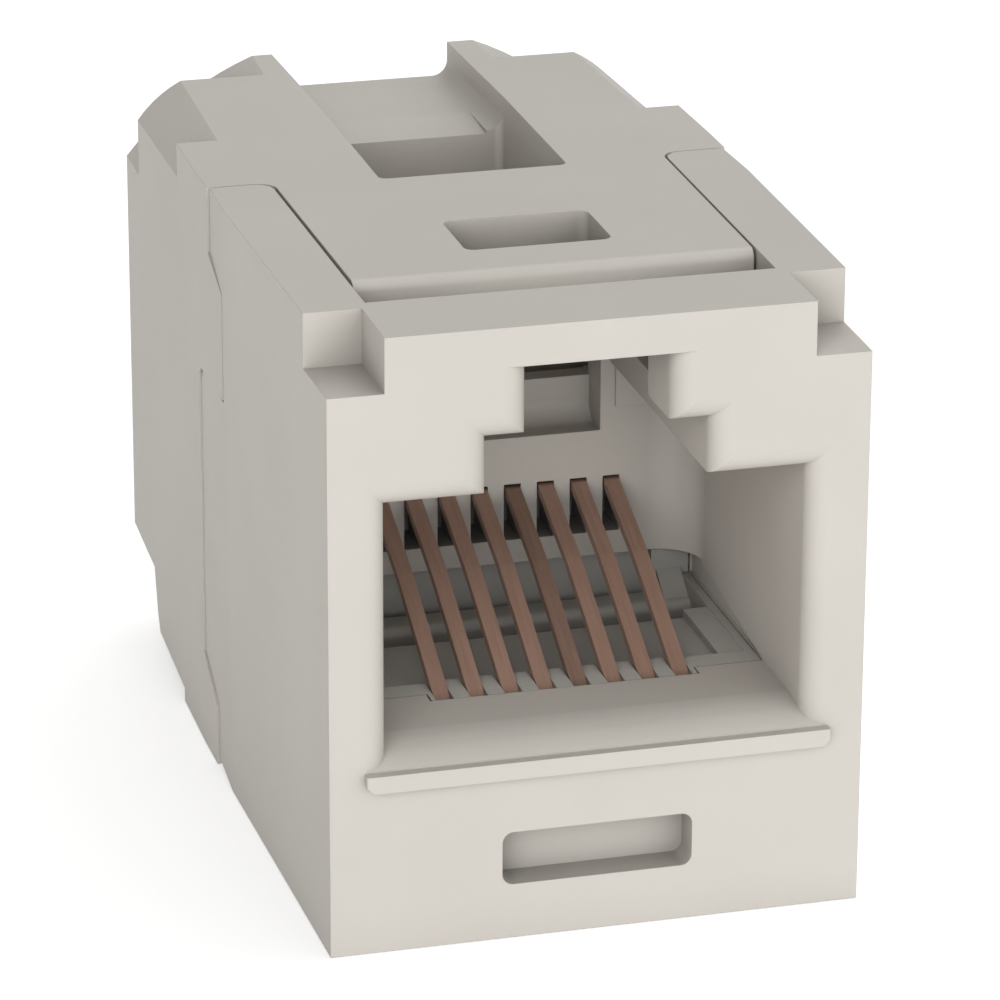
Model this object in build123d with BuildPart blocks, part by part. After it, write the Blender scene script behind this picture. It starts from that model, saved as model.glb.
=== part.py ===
from build123d import *
import os

# Ethernet inline coupler: a short box with a modular jack at each end, wired straight through.
# Millimetres. X to the right seen from the front, Y from the front face to the rear face, +Z up.
# Origin: middle of the footprint, on the flat underside. The photographed face looks along -Y.
# Names ending in _at are depths from the front face; heights are from the underside.
# A position that belongs to another surface is written as an inset from that surface.

# Outer box
length = 27.26
height = 18.25
shoulder_half = 7.92
front_half = shoulder_half - 0.16
front_end_half = shoulder_half - 0.07
outside = shoulder_half + 1
front_y = -length / 2
seam = 0.07

# Middle of the coupler, where the back walls of the two jacks stand apart
middle_gap = 1.46
back_wall = 1.86
wall_end_at = (length - middle_gap) / 2
wall_at = wall_end_at - back_wall
shoulder_at = wall_end_at - 1.00
top_parting_at = wall_end_at + 1.25

# Cut corners of the front face, which let the coupler snap into a faceplate
corner_half = front_half - 1.62
corner_floor = height - 1.60
corner_depth = 2.56

# Zigzag joint between the housings on each side wall
joint_top_at = wall_end_at - 0.50
joint_jog = height - 2.70
joint_jog_top = height - 2.00
tongue_top = height - 6.05
tongue_at = wall_end_at + 2.78
tongue_bottom = 3.0
joint_low = 2.24
joint_low_at = wall_end_at + 1.40
joint_bottom_at = wall_end_at + 1.00

# Rear housing steps, from front to back
collar_end_at = length - 8.54
step_end_at = length - 2.13
collar_half = shoulder_half - 0.06
step_half = shoulder_half - 0.18
rear_end_half = shoulder_half - 0.23
chamfer_low_front = height - 1.05
chamfer_low_rear = height - 1.17
chamfer_bulge = 0.10
chamfer_top_front = collar_half - 1.26
chamfer_top_rear = step_half - 1.38
corner_low = height - 2.97
corner_top_front = step_half - 4.04
corner_top_rear = rear_end_half - 4.09
corner_bulge = 0.30
corner_lean = 0.36
belly_step_at = length - 8.26
belly_step = 0.43
belly_rise = 0.72
belly_rise_at = length - 4.26
belly_curve_at = length - 3.46
belly_end = 2.86
belly_high = belly_end - 0.21

# Circuit board
board_low = 2.85
board_thick = 1.0
board_top = board_low + board_thick
board_hole = 0.42

# Walls and the inner compartment
seat = 0.02
cavity_half = front_half - 1.70
floor_thick = 1.4
rear_floor = board_top + seat
rear_floor_at = length - 4.56
front_wall = 2.4
ledge = height - 4.94
plate_under = height - 1.30
rail_half = cavity_half - 0.76

# Jack opening
sill = 6.02
sill_depth = 3.38
sill_side_depth = sill_depth + 0.47
sill_side_half = 4.0
sill_under = sill - 1.42
sill_round = 3.0
sill_flat_at = 1.6
key_half = 3.20
key_top = height - 3.26
latch_half = 2.07
latch_top = height - 1.16
rear_latch_top = height - 1.90
panel = 2.57
mouth_round = 0.66
lip_half = front_half - 1.01
lip_top = sill - 0.51
lip_low = lip_top - 0.53
lip_proud = 0.30
side_chamber_low = height - 3.91
side_chamber_half = 4.4

# Contact wires
pin_pitch = 1.016
pins = 8
wire_width = 0.46
wire_thick = 0.26
wire_bend = 0.45
wire_play = 0.03
wire_end = sill + 3.27
wire_end_at = wall_at + 1.11
wire_top = sill + 3.25
wire_bow = sill + 3.04
wire_bow_at = wall_at - 0.59
wire_knee = sill + 2.07
wire_knee_at = wall_at - 3.04
wire_dip = sill + 1.09
wire_dip_at = wall_at - 4.99
wire_front = sill - 0.24
wire_front_at = sill_depth + 0.09
wire_under = board_top + 0.60
wire_under_at = sill_depth + 0.24
wire_foot = board_top + 0.47
tail_low = board_low - 0.60
tail_near_at = sill_depth + 1.97
tail_far_at = tail_near_at + 0.95

# Back wall of a jack, with the slots that guide the contact tips
wall_low = sill + 0.83
slot_low = wall_low + 0.73
slot_top = slot_low + 1.77
slot_width = wire_width + 2 * wire_play
slot_depth = back_wall - 0.30
recess_low = sill + 4.79
recess_sill = recess_low + 1.34
recess_depth = 1.21
recess_round = 0.60
corner_blend = 1.30
pad_half = 3.65
pad_low = sill + 5.51
pad_proud = 0.08
wedge_depth = 0.08

# Top plate that reaches forward from the rear housing
bay_front_at = panel + 0.43
bay_half = corner_half - 0.23
bay_rear_half = bay_half + 0.10
plate_front_at = bay_front_at + 1.72
bay_shift = -0.03
plate_gap = 0.085
plate_shift = -0.015
plate_round = 0.30
bay_round = 0.55
dent_half = 2.16
dent_shift = 0.07
dent_front_at = plate_front_at + 1.96
dent_rear_at = dent_front_at + 2.74
dent_depth = 1.4
dent_round = 0.30
boss_rim = 0.40
boss_low = height - 1.95
window_half = 2.86
window_shift = 0.04
window_round = 0.25
window_at = wall_end_at + 0.86
window_end_at = length - 6.16
window_ledge = height - 2.20
channel_floor = height - 1.09
channel_skew = 0.022
channel_round = 0.50
channel_dip = 0.12
channel_dip_half = 2.40
channel_dip_at = window_end_at + 2.02
bulkhead_at = wall_end_at + 0.30
crossbar = 1.2
crossbar_low = height - 2.95

# Pocket in the front face, under the jack
pocket_half = 2.78
pocket_low = 1.65
pocket_tall = 1.60
pocket_round = 0.32
pocket_depth = 1.0

# Contact carriers
carrier_gap = 0.05
carrier_end_at = wall_end_at + 0.20
comb_at = sill_depth + 1.64
end_block_at = sill_depth + 1.30
bend_room_top = board_top + 1.20
bend_room_at = tail_far_at + 0.40
deck = sill - 0.28
deck_at = wall_at - 2.86
trough_low = sill - 1.32
step_at = wall_at - 1.19
step_low = sill - 0.46
step_rear_at = wall_at - 0.19
step_round = 0.30
groove_low = sill - 1.42
upright_at = wall_at + 0.35
upright_half = cavity_half - 1.22
side_block_top = sill - 0.05
side_block_at = deck_at + 0.12
margin_half = cavity_half - 1.06
margin_rear = sill + 0.18
side_rail_half = cavity_half - 0.31

# Room for the circuit board between the end walls
board_half = cavity_half - 0.11
board_front_at = front_wall + 0.90
board_rear_at = rear_floor_at - 0.30

rail_top = board_low - seat
carrier_low = board_top + seat
pin_x = [pin_pitch * (n - (pins - 1) / 2) for n in range(pins)]
front_face = Plane((0, front_y, 0), x_dir=(1, 0, 0), z_dir=(0, -1, 0))


def y(depth):
    return front_y + depth


def facing(depth):
    return front_face.offset(-depth)


def mirrored(depth):
    return length - depth


os.makedirs("parts", exist_ok=True)

# Front housing: the box with the visible jack, open at the back and under the top plate.
with BuildPart() as front_housing:
    with BuildSketch(Plane.XY):
        with BuildLine():
            outline = Polyline(
                (0, y(0)),
                (front_half, y(0)),
                (shoulder_half, y(shoulder_at)),
                (front_end_half, y(joint_bottom_at)),
                (front_end_half, y(tongue_at)),
                (0, y(tongue_at)),
            )
            mirror(about=Plane.YZ)
        make_face()
    extrude(amount=height)
    # The rear edge follows the zigzag joint.
    with BuildSketch(Plane.YZ) as front_side:
        with BuildLine():
            Polyline(
                (y(0), 0),
                (y(shoulder_at), 0),
                (y(joint_bottom_at), 0.2),
                (y(joint_bottom_at), joint_low - 0.3),
                (y(joint_low_at), joint_low),
                (y(tongue_at), tongue_bottom),
                (y(tongue_at), tongue_top),
                (y(joint_top_at), tongue_top),
                (y(joint_top_at), joint_jog),
                (y(top_parting_at), joint_jog_top),
                (y(top_parting_at), height),
                (y(0), height),
                close=True,
            )
        make_face()
        fillet(front_side.vertices().group_by(Axis.X)[-1].sort_by(Axis.Y)[-1], 0.5)
    extrude(amount=2 * shoulder_half, both=True, mode=Mode.INTERSECT)
    # Cut corners beside the raised middle of the front face.
    with BuildSketch(facing(0)):
        with Locations(((corner_half + outside) / 2, (corner_floor + height) / 2)):
            Rectangle(outside - corner_half, height - corner_floor)
        mirror(about=Plane.YZ)
    extrude(amount=-corner_depth, mode=Mode.SUBTRACT)
    # Lower compartment, under the jack's back wall and open to the rear.
    with BuildSketch(Plane.YZ):
        with BuildLine():
            Polyline(
                (y(front_wall), floor_thick),
                (y(tongue_at + 1), floor_thick),
                (y(tongue_at + 1), wall_low),
                (y(sill_depth), wall_low),
                (y(sill_depth), sill_under),
                (y(front_wall), sill_under),
                close=True,
            )
        make_face()
    extrude(amount=cavity_half, both=True, mode=Mode.SUBTRACT)
    # Rails that carry the circuit board.
    with BuildSketch(Plane.YZ.offset(rail_half)):
        with Locations((y((front_wall + joint_bottom_at) / 2), (floor_thick + rail_top) / 2)):
            Rectangle(joint_bottom_at - front_wall, rail_top - floor_thick)
    extrude(amount=cavity_half - rail_half)
    mirror(about=Plane.YZ)
    # The sill reaches further in beside the comb.
    with BuildSketch(Plane.XY.offset(sill_under)):
        with Locations(((sill_side_half + cavity_half) / 2, y((sill_depth + sill_side_depth) / 2))):
            Rectangle(cavity_half - sill_side_half, sill_side_depth - sill_depth)
        mirror(about=Plane.YZ)
    extrude(amount=sill - sill_under)
    # Plug space behind the front panel.
    with BuildSketch(facing(panel)):
        with Locations((0, (sill + ledge) / 2)):
            Rectangle(2 * cavity_half, ledge - sill)
        with Locations((0, (ledge + side_chamber_low) / 2)):
            Rectangle(2 * key_half, side_chamber_low - ledge)
        with Locations((0, (side_chamber_low + plate_under) / 2)):
            Rectangle(2 * side_chamber_half, plate_under - side_chamber_low)
    extrude(amount=-(wall_at - panel), mode=Mode.SUBTRACT)
    # The back wall runs into the side walls in a soft curve.
    wall_corners = front_housing.edges().filter_by(Axis.Z).filter_by_position(
        Axis.Y, y(wall_at) - 0.01, y(wall_at) + 0.01
    )
    fillet([e for e in wall_corners if abs(abs(e.center().X) - cavity_half) < 0.01], corner_blend)
    # Space behind the back wall.
    with BuildSketch(facing(wall_end_at)):
        with Locations((0, (floor_thick + plate_under) / 2)):
            Rectangle(2 * cavity_half, plate_under - floor_thick)
    extrude(amount=-(tongue_at - wall_end_at), mode=Mode.SUBTRACT)
    with BuildSketch(facing(joint_bottom_at + 0.02)):
        with Locations((0, (floor_thick + wall_low) / 2)):
            Rectangle(2 * cavity_half, wall_low - floor_thick)
    extrude(amount=-(tongue_at - joint_bottom_at), mode=Mode.SUBTRACT)
    # Latch recess and the opening above its sill.
    with BuildSketch(Plane.YZ) as recess:
        with Locations((y(wall_at + recess_depth / 2), (recess_low + plate_under) / 2)):
            Rectangle(recess_depth, plate_under - recess_low)
        fillet(recess.vertices().group_by(Axis.Y)[0].sort_by(Axis.X)[-1], recess_round)
    extrude(amount=key_half, both=True, mode=Mode.SUBTRACT)
    with BuildSketch(facing(wall_at)):
        with Locations((0, (recess_sill + plate_under) / 2)):
            Rectangle(2 * key_half, plate_under - recess_sill)
    extrude(amount=-(wall_end_at - wall_at), mode=Mode.SUBTRACT)
    # Pads on the back wall beside the recess.
    with BuildSketch(facing(wall_at)):
        with Locations(((pad_half + cavity_half) / 2, (pad_low + ledge) / 2)):
            Rectangle(cavity_half - pad_half, ledge - pad_low)
        mirror(about=Plane.YZ)
    extrude(amount=pad_proud)
    # Slots for the contact tips.
    with BuildSketch(facing(wall_at)):
        with Locations((0, (slot_low + slot_top) / 2)):
            with GridLocations(pin_pitch, 1, pins, 1):
                Rectangle(slot_width, slot_top - slot_low)
    extrude(amount=-slot_depth, mode=Mode.SUBTRACT)
    # Shallow wedges let into the side walls above the carrier.
    for side in (1, -1):
        with BuildSketch(Plane.YZ.offset(side * cavity_half)):
            with BuildLine():
                Polyline((y(sill_side_depth), sill), (y(wall_at), sill), (y(wall_at), wall_low), close=True)
            make_face()
        extrude(amount=side * wedge_depth, mode=Mode.SUBTRACT)
    # Bay for the top plate, with rounded outer corners at its rear.
    with BuildSketch(Plane((bay_shift, 0, plate_under))) as bay:
        with BuildLine():
            Polyline(
                (0, y(bay_front_at)),
                (bay_half, y(bay_front_at)),
                (bay_rear_half, y(top_parting_at)),
                (bay_rear_half, y(top_parting_at + 2)),
                (0, y(top_parting_at + 2)),
            )
            mirror(about=Plane.YZ)
        make_face()
    extrude(amount=height - plate_under, mode=Mode.SUBTRACT)
    rear_corners = front_housing.edges().filter_by(Axis.Z).filter_by_position(
        Axis.Y, y(top_parting_at) - 0.01, y(top_parting_at) + 0.01
    )
    inner_corners = [e for e in rear_corners if abs(abs(e.center().X) - bay_rear_half) < 0.05]
    fillet(inner_corners, bay_round)
    # Jack mouth through the front panel.
    with BuildSketch(facing(0)):
        with Locations((0, (sill + ledge) / 2)):
            Rectangle(2 * cavity_half, ledge - sill)
        with Locations((0, (ledge + key_top) / 2)):
            Rectangle(2 * key_half, key_top - ledge)
        with Locations((0, (key_top + latch_top) / 2)):
            Rectangle(2 * latch_half, latch_top - key_top)
    extrude(amount=-panel, mode=Mode.SUBTRACT)
    # Pocket under the jack.
    with BuildSketch(facing(0)):
        with Locations((0, pocket_low + pocket_tall / 2)):
            RectangleRounded(2 * pocket_half, pocket_tall, pocket_round)
    extrude(amount=-pocket_depth, mode=Mode.SUBTRACT)

    # Sill rolls down to the lip along the lower edge of the mouth.
    with BuildSketch(Plane.YZ):
        with BuildLine():
            drop = [sill - sill_round + (sill_round**2 - (sill_flat_at - d) ** 2) ** 0.5 for d in (0.7, -0.4)]
            ThreePointArc((y(sill_flat_at), sill), (y(0.7), drop[0]), (y(-0.4), drop[1]))
            Polyline((y(-0.4), drop[1]), (y(-0.4), sill + 0.5), (y(sill_flat_at), sill + 0.5), (y(sill_flat_at), sill))
        make_face()
    extrude(amount=cavity_half, both=True, mode=Mode.SUBTRACT)
    # Rounded rim of the mouth; only the top of the latch notch stays sharp.
    rim = front_housing.faces().sort_by(Axis.Y)[0].inner_wires().sort_by(Axis.Z)[-1].edges()
    rim = [e for e in rim if sill_under < e.center().Z < latch_top - 0.01]
    rim = [e for e in rim if e.center().Z > sill - 0.4 or abs(e.center().X) > cavity_half - 0.01]
    rim = [e for e in rim if e.bounding_box().size.Z > 0.01 or e.center().Z > sill]
    fillet(rim, mouth_round)
    # Lip that stands proud under the sill.
    with BuildSketch(facing(0)) as lip_face:
        with Locations((0, (lip_low + lip_top) / 2)):
            Rectangle(2 * lip_half, lip_top - lip_low)
        chamfer(lip_face.vertices().group_by(Axis.Y)[0], 0.2)
    extrude(amount=lip_proud)

front_housing.part.label = "front_housing"
export_step(front_housing.part, "parts/front_housing.step")

# Rear housing: the stepped rear body with the hidden jack, and the plate that covers the front bay.
with BuildPart() as rear_housing:
    with BuildSketch(Plane.XY):
        with BuildLine():
            Polyline(
                (0, y(joint_top_at)),
                (shoulder_half, y(joint_top_at)),
                (shoulder_half, y(tongue_at)),
                (collar_half, y(collar_end_at)),
                (step_half, y(step_end_at)),
                (rear_end_half, y(length)),
                (0, y(length)),
            )
            mirror(about=Plane.YZ)
        make_face()
    extrude(amount=height)
    with BuildSketch(Plane.YZ) as rear_side:
        with BuildLine():
            Polyline(
                (y(joint_bottom_at + seam), 0),
                (y(joint_bottom_at + seam), joint_low - 0.3),
                (y(joint_low_at + seam), joint_low),
                (y(tongue_at + seam), tongue_bottom),
                (y(tongue_at + seam), tongue_top + seam),
                (y(joint_top_at + seam), tongue_top + seam),
                (y(joint_top_at + seam), joint_jog),
                (y(top_parting_at + seam), joint_jog_top),
                (y(top_parting_at + seam), height),
                (y(length), height),
                (y(length), belly_end),
                (y(belly_curve_at), belly_high),
                (y(belly_rise_at + 0.35), belly_rise + 0.55),
                (y(belly_rise_at), belly_rise),
                (y(belly_step_at), belly_step),
                (y(belly_step_at), 0),
                close=True,
            )
        make_face()
        hook = rear_side.vertices().sort_by_distance(Vertex(y(tongue_at + seam), tongue_top + seam, 0))[0]
        fillet(hook, 0.5)
    extrude(amount=2 * shoulder_half, both=True, mode=Mode.INTERSECT)
    # Chamfered shoulders, tapering towards the rear.
    for side in (1, -1):
        with BuildSketch(facing(collar_end_at)):
            with BuildLine():
                Polyline(
                    (side * chamfer_top_front, height),
                    (side * outside, height),
                    (side * outside, chamfer_low_front),
                    (side * collar_half, chamfer_low_front),
                )
                ThreePointArc(
                    (side * collar_half, chamfer_low_front),
                    (
                        side * (chamfer_top_front + collar_half + chamfer_bulge) / 2,
                        (height + chamfer_low_front) / 2 + chamfer_bulge,
                    ),
                    (side * chamfer_top_front, height),
                )
            make_face()
        with BuildSketch(facing(step_end_at)):
            with BuildLine():
                Polyline(
                    (side * chamfer_top_rear, height),
                    (side * outside, height),
                    (side * outside, chamfer_low_rear),
                    (side * step_half, chamfer_low_rear),
                )
                ThreePointArc(
                    (side * step_half, chamfer_low_rear),
                    (
                        side * (chamfer_top_rear + step_half + chamfer_bulge) / 2,
                        (height + chamfer_low_rear) / 2 + chamfer_bulge,
                    ),
                    (side * chamfer_top_rear, height),
                )
            make_face()
        loft(mode=Mode.SUBTRACT)
        # The last step is cut deeper, with a slightly bulging slope that leans in on the right.
        lean = corner_lean if side > 0 else 0
        for depth, top, wall in (
            (step_end_at, corner_top_front - lean, step_half),
            (length, corner_top_rear - lean, rear_end_half),
        ):
            with BuildSketch(facing(depth)):
                with BuildLine():
                    Polyline(
                        (side * top, height),
                        (side * outside, height),
                        (side * outside, corner_low),
                        (side * wall, corner_low),
                    )
                    ThreePointArc(
                        (side * wall, corner_low),
                        (side * ((top + wall + corner_bulge) / 2), (height + corner_low) / 2 + corner_bulge),
                        (side * top, height),
                    )
                make_face()
        loft(mode=Mode.SUBTRACT)
    # Hollow of the rear body.
    with BuildSketch(Plane.YZ):
        with BuildLine():
            Polyline(
                (y(joint_top_at), floor_thick),
                (y(rear_floor_at), floor_thick),
                (y(rear_floor_at), rear_floor),
                (y(mirrored(sill_depth)), rear_floor),
                (y(mirrored(sill_depth)), wall_low),
                (y(mirrored(wall_end_at)), wall_low),
                (y(mirrored(wall_end_at)), crossbar_low),
                (y(bulkhead_at), crossbar_low),
                (y(bulkhead_at), plate_under),
                (y(joint_top_at), plate_under),
                close=True,
            )
        make_face()
    extrude(amount=cavity_half, both=True, mode=Mode.SUBTRACT)
    # Back wall of the rear jack, reaching in between the tongues of the front housing.
    with BuildSketch(Plane.XY.offset(wall_low)):
        with Locations((0, y(mirrored((wall_at + wall_end_at) / 2)))):
            Rectangle(2 * (cavity_half - carrier_gap), back_wall)
    extrude(amount=crossbar_low - wall_low)
    with BuildSketch(Plane.YZ.offset(rail_half)):
        with Locations((y((joint_low_at + rear_floor_at) / 2 + 0.5), (floor_thick + rail_top) / 2)):
            Rectangle(rear_floor_at - joint_low_at - 1, rail_top - floor_thick)
    extrude(amount=cavity_half - rail_half)
    mirror(about=Plane.YZ)
    # Plate over the front bay.
    with BuildSketch(Plane((plate_shift, 0, plate_under + seat))) as plate:
        with BuildLine():
            Polyline(
                (0, y(plate_front_at)),
                (bay_half - plate_gap, y(plate_front_at)),
                (bay_rear_half - plate_gap, y(top_parting_at + seam)),
                (bay_rear_half - plate_gap, y(top_parting_at + 1)),
                (0, y(top_parting_at + 1)),
            )
            mirror(about=Plane.YZ)
        make_face()
    extrude(amount=height - plate_under - seat)
    inner = rear_housing.edges().filter_by(Axis.Z).filter_by_position(
        Axis.Y, y(top_parting_at + seam) - 0.01, y(top_parting_at + seam) + 0.01
    )
    fillet([e for e in inner if abs(abs(e.center().X) - bay_rear_half + plate_gap) < 0.05], bay_round)
    plate_edge = rear_housing.edges().filter_by_position(Axis.Z, height - 0.01, height + 0.01)
    plate_edge = plate_edge.filter_by_position(Axis.Y, y(plate_front_at) - 0.01, y(plate_front_at) + 0.01)
    fillet(plate_edge, plate_round)
    # Boss under the plate, around the dent.
    with BuildSketch(Plane.XY.offset(boss_low)):
        with Locations((dent_shift, y((dent_front_at + dent_rear_at) / 2))):
            Rectangle(2 * (dent_half + boss_rim), dent_rear_at - dent_front_at + 2 * boss_rim)
    extrude(amount=plate_under + 2 * seat - boss_low)
    # Sill beside the rear comb.
    with BuildSketch(Plane.XY.offset(rear_floor)):
        with Locations(
            (
                (sill_side_half + cavity_half) / 2,
                y(mirrored((sill_depth + sill_side_depth) / 2)),
            )
        ):
            Rectangle(cavity_half - sill_side_half, sill_side_depth - sill_depth)
        mirror(about=Plane.YZ)
    extrude(amount=sill - rear_floor)
    # Rear jack: plug space, key step and latch way.
    with BuildSketch(facing(mirrored(wall_at))):
        with Locations((0, (sill + ledge) / 2)):
            Rectangle(2 * cavity_half, ledge - sill)
    extrude(amount=-wall_at, mode=Mode.SUBTRACT)
    with BuildSketch(facing(mirrored(wall_at))):
        with Locations((0, (ledge + crossbar_low) / 2)):
            Rectangle(2 * key_half, crossbar_low - ledge)
    extrude(amount=-(wall_at - panel), mode=Mode.SUBTRACT)
    with BuildSketch(facing(mirrored(panel))):
        with Locations((0, (ledge + key_top) / 2)):
            Rectangle(2 * key_half, key_top - ledge)
    extrude(amount=-panel, mode=Mode.SUBTRACT)
    with BuildSketch(facing(window_end_at + crossbar)):
        with Locations((0, (key_top + rear_latch_top) / 2)):
            Rectangle(2 * latch_half, rear_latch_top - key_top)
    extrude(amount=-(length - window_end_at - crossbar), mode=Mode.SUBTRACT)
    # Latch recess and contact slots of the rear jack's back wall.
    with BuildSketch(facing(mirrored(wall_at + recess_depth))):
        with Locations((0, (recess_low + crossbar_low) / 2)):
            Rectangle(2 * key_half, crossbar_low - recess_low)
    extrude(amount=-recess_depth, mode=Mode.SUBTRACT)
    with BuildSketch(facing(mirrored(wall_at + slot_depth))):
        with Locations((0, (slot_low + slot_top) / 2)):
            with GridLocations(pin_pitch, 1, pins, 1):
                Rectangle(slot_width, slot_top - slot_low)
    extrude(amount=-slot_depth, mode=Mode.SUBTRACT)
    # Window in the top, channel behind it and shallow dent in the plate.
    with BuildSketch(Plane.XY.offset(window_ledge)):
        with Locations((window_shift, y((window_at + window_end_at) / 2))):
            RectangleRounded(2 * window_half, window_end_at - window_at, window_round)
    extrude(amount=height - window_ledge, mode=Mode.SUBTRACT)
    with BuildSketch(Plane.XY.offset(crossbar_low)):
        with Locations((window_shift, y((mirrored(wall_at) + window_end_at) / 2))):
            RectangleRounded(2 * window_half, window_end_at - mirrored(wall_at), window_round)
    extrude(amount=height - crossbar_low, mode=Mode.SUBTRACT)
    channel_at = window_end_at - window_round
    channel_start = Plane((window_shift, y(channel_at), height), x_dir=(1, channel_skew, 0), z_dir=(channel_skew, -1, 0))
    with BuildSketch(channel_start):
        RectangleRounded(2 * window_half, 2 * (height - channel_floor), channel_round)
    extrude(amount=-(length - channel_at + channel_round), mode=Mode.SUBTRACT)
    # The channel floor dips towards the window.
    with BuildSketch(Plane.YZ):
        with BuildLine():
            Polyline(
                (y(channel_dip_at), channel_floor),
                (y(channel_at), channel_floor - channel_dip),
                (y(channel_at), channel_floor + channel_dip),
                (y(channel_dip_at), channel_floor + channel_dip),
                close=True,
            )
        make_face()
    extrude(amount=channel_dip_half, both=True, mode=Mode.SUBTRACT)
    with BuildSketch(Plane.XY.offset(height - dent_depth)):
        with Locations((dent_shift, y((dent_front_at + dent_rear_at) / 2))):
            RectangleRounded(2 * dent_half, dent_rear_at - dent_front_at, dent_round)
    extrude(amount=dent_depth, mode=Mode.SUBTRACT)
    # Rolled sill, rounded rim and lip of the rear jack.
    with BuildSketch(Plane.YZ):
        with BuildLine():
            far = [sill - sill_round + (sill_round**2 - (sill_flat_at - d) ** 2) ** 0.5 for d in (0.7, -0.4)]
            ThreePointArc(
                (y(mirrored(sill_flat_at)), sill),
                (y(mirrored(0.7)), far[0]),
                (y(mirrored(-0.4)), far[1]),
            )
            Polyline(
                (y(mirrored(-0.4)), far[1]),
                (y(mirrored(-0.4)), sill + 0.5),
                (y(mirrored(sill_flat_at)), sill + 0.5),
                (y(mirrored(sill_flat_at)), sill),
            )
        make_face()
    extrude(amount=cavity_half, both=True, mode=Mode.SUBTRACT)
    rear_rim = rear_housing.faces().sort_by(Axis.Y)[-1].inner_wires().sort_by(Axis.Z)[-1].edges()
    rear_rim = [e for e in rear_rim if sill_under < e.center().Z < rear_latch_top - 0.01]
    rear_rim = [e for e in rear_rim if e.bounding_box().size.Z > 0.01 or e.center().Z > sill]
    fillet(rear_rim, mouth_round)
    with BuildSketch(facing(length + lip_proud)):
        with Locations((0, (lip_low + lip_top) / 2)):
            Rectangle(2 * lip_half, lip_top - lip_low)
    extrude(amount=lip_proud)

rear_housing.part.label = "rear_housing"
export_step(rear_housing.part, "parts/rear_housing.step")

# Front contact carrier: comb, stepped deck and upright, lying on the circuit board.
carrier_half = cavity_half - carrier_gap
carrier_front_at = sill_depth + carrier_gap
with BuildPart() as front_carrier:
    with BuildSketch(Plane.YZ) as carrier_side:
        with BuildLine():
            Polyline(
                (y(carrier_front_at), carrier_low),
                (y(carrier_end_at), carrier_low),
                (y(carrier_end_at), wall_low - seat),
                (y(wall_at), wall_low - seat),
                (y(wall_at), step_low),
                (y(step_at), step_low),
                (y(step_at), trough_low),
                (y(deck_at), trough_low),
                (y(deck_at), deck),
                (y(carrier_front_at), deck),
                close=True,
            )
        make_face()
        fillet(carrier_side.vertices().sort_by_distance(Vertex(y(step_at), step_low, 0))[0], step_round)
    extrude(amount=carrier_half, both=True)
    # Deep groove between the step and the upright.
    with BuildSketch(Plane.YZ):
        with Locations((y((step_rear_at + upright_at) / 2), (groove_low + wall_low) / 2)):
            Rectangle(upright_at - step_rear_at, wall_low - groove_low)
    extrude(amount=upright_half, both=True, mode=Mode.SUBTRACT)
    for side in (1, -1):
        # Margin beside the groove, rising from the step to the upright.
        with BuildSketch(Plane.YZ.offset(side * margin_half)):
            with BuildLine():
                Polyline(
                    (y(step_at + step_round), trough_low),
                    (y(upright_at), trough_low),
                    (y(upright_at), margin_rear),
                    (y(wall_at), margin_rear),
                    (y(step_at + step_round), step_low),
                    close=True,
                )
            make_face()
        extrude(amount=side * (side_rail_half - margin_half))
        # Rail against the side wall.
        with BuildSketch(Plane.YZ.offset(side * side_rail_half)):
            with Locations((y((carrier_front_at + wall_at) / 2), (carrier_low + sill) / 2)):
                Rectangle(wall_at - carrier_front_at, sill - carrier_low)
        extrude(amount=side * (carrier_half - side_rail_half))
        # Side block and end block.
        with BuildSketch(Plane.YZ.offset(side * margin_half)):
            with Locations((y((carrier_front_at + side_block_at) / 2), (carrier_low + side_block_top) / 2)):
                Rectangle(side_block_at - carrier_front_at, side_block_top - carrier_low)
        extrude(amount=side * (side_rail_half - margin_half))
        with BuildSketch(Plane.YZ.offset(side * (pin_x[-1] + slot_width / 2))):
            with Locations((y((carrier_front_at + end_block_at) / 2), (carrier_low + sill) / 2)):
                Rectangle(end_block_at - carrier_front_at, sill - carrier_low)
        extrude(amount=side * (side_rail_half - pin_x[-1] - slot_width / 2))
    # Comb teeth with rounded tips.
    with BuildSketch(Plane.YZ.offset(-pin_x[-1])) as tooth:
        with Locations((y((carrier_front_at + comb_at) / 2), (deck + sill) / 2)):
            Rectangle(comb_at - carrier_front_at, sill - deck)
        fillet(tooth.vertices().group_by(Axis.X)[-1].sort_by(Axis.Y)[-1], sill - deck - 0.02)
    extrude(amount=2 * pin_x[-1])
    # Slots between the teeth, and room for the wire bends under the deck.
    with BuildSketch(Plane.XY.offset(carrier_low)):
        with Locations((0, y((carrier_front_at + comb_at) / 2))):
            with GridLocations(pin_pitch, 1, pins, 1):
                Rectangle(slot_width, comb_at - carrier_front_at)
    extrude(amount=sill - carrier_low, mode=Mode.SUBTRACT)
    with BuildSketch(Plane.XY.offset(carrier_low)):
        with Locations((0, y((carrier_front_at + bend_room_at) / 2))):
            with GridLocations(pin_pitch, 1, pins, 1):
                Rectangle(slot_width, bend_room_at - carrier_front_at)
    extrude(amount=bend_room_top - carrier_low, mode=Mode.SUBTRACT)
    # Corners cleared for the deeper ends of the sill.
    with BuildSketch(Plane.XY.offset(carrier_low)):
        with Locations(((sill_side_half + carrier_half) / 2, y((carrier_front_at + sill_side_depth) / 2))):
            Rectangle(
                carrier_half - sill_side_half + 2 * carrier_gap,
                sill_side_depth - carrier_front_at + 2 * carrier_gap,
            )
        mirror(about=Plane.YZ)
    extrude(amount=sill - carrier_low, mode=Mode.SUBTRACT)

front_carrier.part.label = "front_contact_sled"
export_step(front_carrier.part, "parts/front_contact_sled.step")

# Rear contact carrier, the same moulding turned to face the rear jack.
with BuildPart() as rear_carrier:
    mirror(front_carrier.part, about=Plane.XZ)

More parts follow.
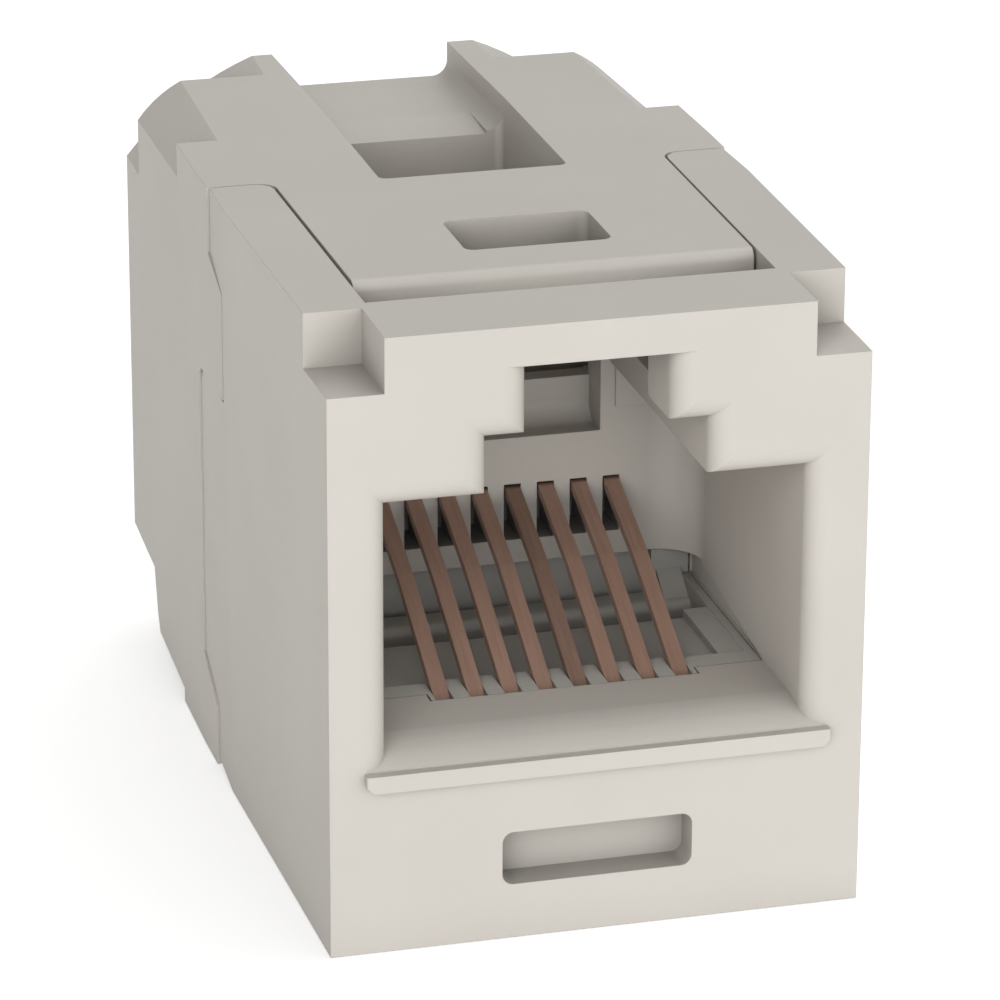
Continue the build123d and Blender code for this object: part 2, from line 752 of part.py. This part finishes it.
rear_carrier.part.label = "rear_contact_sled"
export_step(rear_carrier.part, "parts/rear_contact_sled.step")


def tail_at(n):
    return tail_near_at if n % 2 == 0 else tail_far_at


# Circuit board between the jacks, with a hole for every wire tail.
with BuildPart() as circuit_board:
    with BuildSketch(Plane.XY.offset(board_low)):
        with Locations((0, y((board_front_at + board_rear_at) / 2))):
            Rectangle(2 * board_half, board_rear_at - board_front_at)
        for n in range(pins):
            hole_at = tail_at(n) + wire_thick / 2
            with Locations((pin_x[n], y(hole_at)), (pin_x[n], y(mirrored(hole_at)))):
                Circle(board_hole, mode=Mode.SUBTRACT)
    extrude(amount=board_top - board_low)

circuit_board.part.label = "circuit_board"
export_step(circuit_board.part, "parts/circuit_board.step")

# Contact wires: a sprung slope up to the back wall, a bend behind the sill and a tail in the board.
for n in range(pins):
    with BuildPart() as contact:
        with BuildSketch(Plane.YZ.offset(pin_x[n] - wire_width / 2)):
            with BuildLine():
                FilletPolyline(
                    (y(wire_end_at), wire_end),
                    (y(wall_at), wire_top),
                    (y(wire_bow_at), wire_bow),
                    (y(wire_knee_at), wire_knee),
                    (y(wire_dip_at), wire_dip),
                    (y(wire_front_at), wire_front),
                    (y(wire_under_at), wire_under),
                    (y(tail_at(n)), wire_foot),
                    (y(tail_at(n)), tail_low),
                    radius=wire_bend,
                )
                offset(amount=wire_thick, side=Side.LEFT)
            make_face()
        extrude(amount=wire_width)
    contact.part.label = f"front_contact_{n + 1}"
    export_step(contact.part, f"parts/front_contact_{n + 1}.step")
    # The rear wire is its mirror image.
    with BuildPart() as rear_contact:
        mirror(contact.part, about=Plane.XZ)
    rear_contact.part.label = f"rear_contact_{n + 1}"
    export_step(rear_contact.part, f"parts/rear_contact_{n + 1}.step")
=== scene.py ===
import bpy
from mathutils import Matrix, Vector

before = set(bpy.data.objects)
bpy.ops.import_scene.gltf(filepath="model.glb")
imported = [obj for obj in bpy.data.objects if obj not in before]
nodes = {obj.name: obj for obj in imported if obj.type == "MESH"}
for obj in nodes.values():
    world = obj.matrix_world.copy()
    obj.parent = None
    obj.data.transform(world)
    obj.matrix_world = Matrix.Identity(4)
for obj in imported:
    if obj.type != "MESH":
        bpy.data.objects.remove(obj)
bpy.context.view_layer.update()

MM = 0.001

# The camera, fitted to corners of the object in the photograph. It looks against CAMERA_BACK.
SENSOR_MM = 36.0
LENS_MM = 193.609
CLIP_NEAR = 0.005
CLIP_FAR = 10.0
CAMERA_RIGHT = (0.964769, -0.263071, 0.003714)
CAMERA_UP = (0.090885, 0.346485, 0.933642)
CAMERA_BACK = (-0.246901, -0.900412, 0.358188)
CAMERA_PLACE_MM = (-39.236, -146.149, 65.994)

# Where a noise texture reaches its dark colour and its light one.
DARK_AT = 0.3
LIGHT_AT = 0.7
# Openness at which a crevice gets its darkest painted shade.
CREVICE_CLOSED = 0.10
CREVICE_SAMPLES = 3
EDGE_SAMPLES = 4
BUMP_DEPTH_MM = 0.01

# Moulded plastic: linear colours, and the texture's grains per metre.
HOUSING_LIGHT = (0.570, 0.534, 0.490)
HOUSING_DARK = (0.544, 0.509, 0.466)
CARRIER_LIGHT = (0.500, 0.482, 0.452)
CARRIER_DARK = (0.468, 0.450, 0.421)
PLASTIC_IOR = 1.46
FLOW_SCALE = 160.0
SPARK_SCALE = 9000.0
SPARK_GLOSSIER = 0.05
SPARK_DULLER = 0.07
GRAIN_STRENGTH = 0.12

# Contact wire: linear colours, and the scale of its drawing marks along x, y and z.
WIRE_LIGHT = (0.41, 0.258, 0.200)
WIRE_DARK = (0.35, 0.215, 0.162)
# Darker copies of the wire colours for one wire: painted shade for a dark band across it.
SHADED_WIRE_LIGHT = (0.31, 0.196, 0.150)
SHADED_WIRE_DARK = (0.25, 0.155, 0.117)
SHADED_WIRE_NODE = "front_contact_5"
WIRE_MARKS = (9000.0, 500.0, 500.0)

# Circuit board: the two greens of the weave under the solder mask.
WEAVE_SCALE = 1500.0
WEAVE_DARK = (0.030, 0.150, 0.065, 1)
WEAVE_LIGHT = (0.036, 0.170, 0.075, 1)

# Floor: a pale sheet just under the object. It glows more for the camera than for the object.
FLOOR_REACH = 3.0
FLOOR_LEVEL = -0.00002
FLOOR_COLOR = (0.88, 0.88, 0.88, 1)
FLOOR_GLOW = 0.19
FLOOR_GLOW_SEEN = 0.46

# Tent light: an even part, a lean to the right, and a low part from the front.
WHITE = (1, 1, 1, 1)
TENT_COLOR = (0.985, 1.0, 0.995, 1)
TENT_EVEN = 0.42
TENT_LEAN = (0.62, -0.06, 0.0)
TENT_FRONT = (-0.40, -0.92, 0.0)
TENT_FRONT_STRENGTH = 3.5
TENT_FRONT_FALL = 3.5
TENT_LEAST = 0.08

# What the lamps are aimed at, in metres.
LAMP_TARGET = (0, 0, 0.009)


def make_camera():
    """Place the photograph's camera."""
    data = bpy.data.cameras.new("camera")
    data.sensor_width = SENSOR_MM
    data.lens = LENS_MM
    data.clip_start = CLIP_NEAR
    data.clip_end = CLIP_FAR
    camera = bpy.data.objects.new("camera", data)
    bpy.context.scene.collection.objects.link(camera)
    place = Vector(CAMERA_PLACE_MM) * MM
    rows = zip(CAMERA_RIGHT, CAMERA_UP, CAMERA_BACK, place)
    camera.matrix_world = Matrix((*rows, (0, 0, 0, 1)))
    bpy.context.scene.camera = camera


class Nodes:
    """A short way to build a node tree."""

    def __init__(self, owner):
        owner.use_nodes = True
        self.tree = owner.node_tree
        self.tree.nodes.clear()

    def add(self, kind, **values):
        """Add a node. Each value sets a property, or the input with that name."""
        node = self.tree.nodes.new(kind)
        for name, value in values.items():
            if hasattr(node, name):
                setattr(node, name, value)
            else:
                node.inputs[name.replace("_", " ")].default_value = value
        return node

    def link(self, a, out, b, into):
        self.tree.links.new(a.outputs[out], b.inputs[into])

    def compute(self, kind, operation, *values, **options):
        """Add a Math or Vector Math node. Each value is a constant, or a node and its output."""
        node = self.add(kind, operation=operation, **options)
        for place, value in enumerate(values):
            if isinstance(value, tuple) and isinstance(value[1], str):
                self.link(*value, node, place)
            else:
                node.inputs[place].default_value = value
        return node


def two_tone(n, texture, light, dark):
    """Turn a noise texture into a mottling between two colours."""
    ramp = n.add("ShaderNodeValToRGB")
    low, high = ramp.color_ramp.elements
    low.position = DARK_AT
    low.color = (*dark, 1)
    high.position = LIGHT_AT
    high.color = (*light, 1)
    n.link(texture, "Fac", ramp, "Fac")
    return ramp


def painted_crevice_shade(n, color, socket, reach_mm, widest, deepest, alone):
    """Paint shade into a colour where surfaces close in on each other, and give the shaded
    colour.
    """
    near = n.add(
        "ShaderNodeAmbientOcclusion",
        samples=CREVICE_SAMPLES,
        only_local=alone,
        Distance=reach_mm * MM,
    )
    keep = n.add(
        "ShaderNodeMapRange",
        From_Min=CREVICE_CLOSED,
        From_Max=widest,
        To_Min=deepest,
        To_Max=1.0,
    )
    n.link(near, "AO", keep, "Value")
    shade = n.add("ShaderNodeVectorMath", operation="SCALE")
    n.link(color, socket, shade, 0)
    n.link(keep, "Result", shade, "Scale")
    return shade


def moulded_plastic(name, light, dark, roughness, round_mm, hollow_mm, alone):
    """Matte moulded plastic: faint flow mottling, painted shade in hollows, fine spark-erosion
    grain, softened edges.
    """
    material = bpy.data.materials.new(name)
    n = Nodes(material)
    out = n.add("ShaderNodeOutputMaterial")
    shader = n.add("ShaderNodeBsdfPrincipled", Roughness=roughness, IOR=PLASTIC_IOR)
    n.link(shader, "BSDF", out, "Surface")
    where = n.add("ShaderNodeTexCoord")

    # Colour: mottled, with painted shade in wide hollows, and more painted shade in narrow ones.
    flow = n.add("ShaderNodeTexNoise", Scale=FLOW_SCALE, Detail=3.0, Roughness=0.55)
    n.link(where, "Object", flow, "Vector")
    mottled = two_tone(n, flow, light, dark)
    hollow = painted_crevice_shade(
        n, mottled, "Color", hollow_mm, widest=0.68, deepest=0.55, alone=alone
    )
    shade = painted_crevice_shade(
        n, hollow, "Vector", reach_mm=2.5, widest=0.50, deepest=0.65, alone=False
    )
    n.link(shade, "Vector", shader, "Base Color")

    # Gloss and grain.
    speck = n.add("ShaderNodeTexNoise", Scale=SPARK_SCALE, Detail=2.0, Roughness=0.6)
    n.link(where, "Object", speck, "Vector")
    gloss = n.add(
        "ShaderNodeMapRange",
        From_Min=DARK_AT,
        From_Max=LIGHT_AT,
        To_Min=roughness - SPARK_GLOSSIER,
        To_Max=roughness + SPARK_DULLER,
    )
    n.link(speck, "Fac", gloss, "Value")
    n.link(gloss, "Result", shader, "Roughness")
    edge = n.add("ShaderNodeBevel", samples=EDGE_SAMPLES, Radius=round_mm * MM)
    bump = n.add("ShaderNodeBump", Strength=GRAIN_STRENGTH, Distance=BUMP_DEPTH_MM * MM)
    n.link(speck, "Fac", bump, "Height")
    n.link(edge, "Normal", bump, "Normal")
    n.link(bump, "Normal", shader, "Normal")
    return material


def plated_wire(name, light, dark):
    """Dull copper-coloured wire with drawing marks along its length, and painted shade in
    crevices.
    """
    material = bpy.data.materials.new(name)
    n = Nodes(material)
    out = n.add("ShaderNodeOutputMaterial")
    shader = n.add("ShaderNodeBsdfPrincipled", Roughness=0.42, Metallic=0.30)
    n.link(shader, "BSDF", out, "Surface")
    where = n.add("ShaderNodeTexCoord")
    stretch = n.add("ShaderNodeMapping", Scale=WIRE_MARKS)
    n.link(where, "Object", stretch, "Vector")
    drawn = n.add("ShaderNodeTexNoise", Scale=1.0, Detail=3.0)
    n.link(stretch, "Vector", drawn, "Vector")
    marked = two_tone(n, drawn, light, dark)
    # Painted shade where the wire runs close to other parts.
    shade = painted_crevice_shade(
        n, marked, "Color", reach_mm=2.0, widest=0.56, deepest=0.6, alone=False
    )
    n.link(shade, "Vector", shader, "Base Color")
    bump = n.add("ShaderNodeBump", Strength=0.25, Distance=BUMP_DEPTH_MM * MM)
    n.link(drawn, "Fac", bump, "Height")
    n.link(bump, "Normal", shader, "Normal")
    return material


def laminate(name):
    """Green solder mask over glass weave."""
    material = bpy.data.materials.new(name)
    n = Nodes(material)
    out = n.add("ShaderNodeOutputMaterial")
    shader = n.add("ShaderNodeBsdfPrincipled", Roughness=0.35)
    n.link(shader, "BSDF", out, "Surface")
    where = n.add("ShaderNodeTexCoord")
    weave = n.add(
        "ShaderNodeTexChecker", Scale=WEAVE_SCALE, Color1=WEAVE_DARK, Color2=WEAVE_LIGHT
    )
    n.link(where, "Object", weave, "Vector")
    n.link(weave, "Color", shader, "Base Color")
    return material


def dress_nodes():
    """Give each node of the CAD part its material."""
    shell = moulded_plastic(
        "housing_plastic",
        HOUSING_LIGHT,
        HOUSING_DARK,
        roughness=0.55,
        round_mm=0.03,
        hollow_mm=7.0,
        alone=True,
    )
    inner = moulded_plastic(
        "carrier_plastic",
        CARRIER_LIGHT,
        CARRIER_DARK,
        roughness=0.60,
        round_mm=0.02,
        hollow_mm=4.0,
        alone=False,
    )
    wire = plated_wire("contact_bronze", WIRE_LIGHT, WIRE_DARK)
    shaded_wire = plated_wire("contact_bronze_shaded", SHADED_WIRE_LIGHT, SHADED_WIRE_DARK)
    board = laminate("board")
    for name, thing in nodes.items():
        if "housing" in name:
            material = shell
        elif "sled" in name:
            material = inner
        elif "contact" in name:
            # The one wire with painted shade gets the darker copy of the wire material.
            material = shaded_wire if name == SHADED_WIRE_NODE else wire
        else:
            material = board
        for spot in thing.material_slots:
            spot.material = material


def make_floor():
    """Lay the pale floor that carries the object's shadow."""
    mesh = bpy.data.meshes.new("floor")
    signs = ((-1, -1), (1, -1), (1, 1), (-1, 1))
    corners = [(FLOOR_REACH * x, FLOOR_REACH * y, FLOOR_LEVEL) for x, y in signs]
    mesh.from_pydata(corners, [], [(0, 1, 2, 3)])
    floor = bpy.data.objects.new("floor", mesh)
    bpy.context.scene.collection.objects.link(floor)
    material = bpy.data.materials.new("floor")
    n = Nodes(material)
    out = n.add("ShaderNodeOutputMaterial")
    pale = n.add("ShaderNodeBsdfDiffuse", Color=FLOOR_COLOR)
    glow = n.add("ShaderNodeEmission")
    path = n.add("ShaderNodeLightPath")
    lift = n.add("ShaderNodeMapRange", To_Min=FLOOR_GLOW, To_Max=FLOOR_GLOW_SEEN)
    n.link(path, "Is Camera Ray", lift, "Value")
    n.link(lift, "Result", glow, "Strength")
    both = n.add("ShaderNodeAddShader")
    n.link(pale, "BSDF", both, 0)
    n.link(glow, "Emission", both, 1)
    n.link(both, "Shader", out, "Surface")
    mesh.materials.append(material)


def make_world():
    """Light the object like a soft tent, and show the camera plain white."""
    world = bpy.data.worlds.new("world")
    bpy.context.scene.world = world
    n = Nodes(world)
    out = n.add("ShaderNodeOutputWorld")
    backdrop = n.add("ShaderNodeBackground", Strength=1.0, Color=WHITE)
    tent = n.add("ShaderNodeBackground", Color=TENT_COLOR)
    where = (n.add("ShaderNodeTexCoord"), "Generated")
    parts = n.add("ShaderNodeSeparateXYZ")
    n.link(*where, parts, 0)

    # The low part from the front: strong at the horizon, and none behind or overhead.
    toward = n.compute("ShaderNodeVectorMath", "DOT_PRODUCT", where, TENT_FRONT)
    ahead = n.compute("ShaderNodeMath", "MAXIMUM", (toward, "Value"), 0.0)
    low = n.compute("ShaderNodeMath", "SUBTRACT", 1.0, (parts, "Z"), use_clamp=True)
    lower = n.compute("ShaderNodeMath", "POWER", (low, "Value"), TENT_FRONT_FALL)
    front = n.compute("ShaderNodeMath", "MULTIPLY", (ahead, "Value"), (lower, "Value"))

    # The lean and the even part, and then all three together.
    lean = n.compute("ShaderNodeVectorMath", "DOT_PRODUCT", where, TENT_LEAN)
    base = n.compute("ShaderNodeMath", "ADD", (lean, "Value"), TENT_EVEN)
    level = n.compute(
        "ShaderNodeMath",
        "MULTIPLY_ADD",
        (front, "Value"),
        TENT_FRONT_STRENGTH,
        (base, "Value"),
    )
    least = n.compute("ShaderNodeMath", "MAXIMUM", (level, "Value"), TENT_LEAST)
    n.link(least, "Value", tent, "Strength")

    path = n.add("ShaderNodeLightPath")
    mix = n.add("ShaderNodeMixShader")
    n.link(path, "Is Camera Ray", mix, 0)
    n.link(tent, "Background", mix, 1)
    n.link(backdrop, "Background", mix, 2)
    n.link(mix, "Shader", out, "Surface")


def lamp(name, place, size, power):
    """Hang a square lamp, sizes in metres and power in watts, and aim it at the object."""
    data = bpy.data.lights.new(name, "AREA")
    data.shape = "SQUARE"
    data.size = size
    data.energy = power
    thing = bpy.data.objects.new(name, data)
    bpy.context.scene.collection.objects.link(thing)
    place = Vector(place)
    thing.location = place
    aim = Vector(LAMP_TARGET) - place
    thing.rotation_euler = aim.to_track_quat("-Z", "Y").to_euler()


dress_nodes()
make_floor()
make_world()
lamp("front_lamp", (-0.23, -0.46, 0.27), size=0.35, power=1.20)
lamp("rear_lamp", (0.05, 0.15, 0.20), size=0.14, power=0.13)
make_camera()
bpy.context.scene.view_settings.view_transform = "Standard"
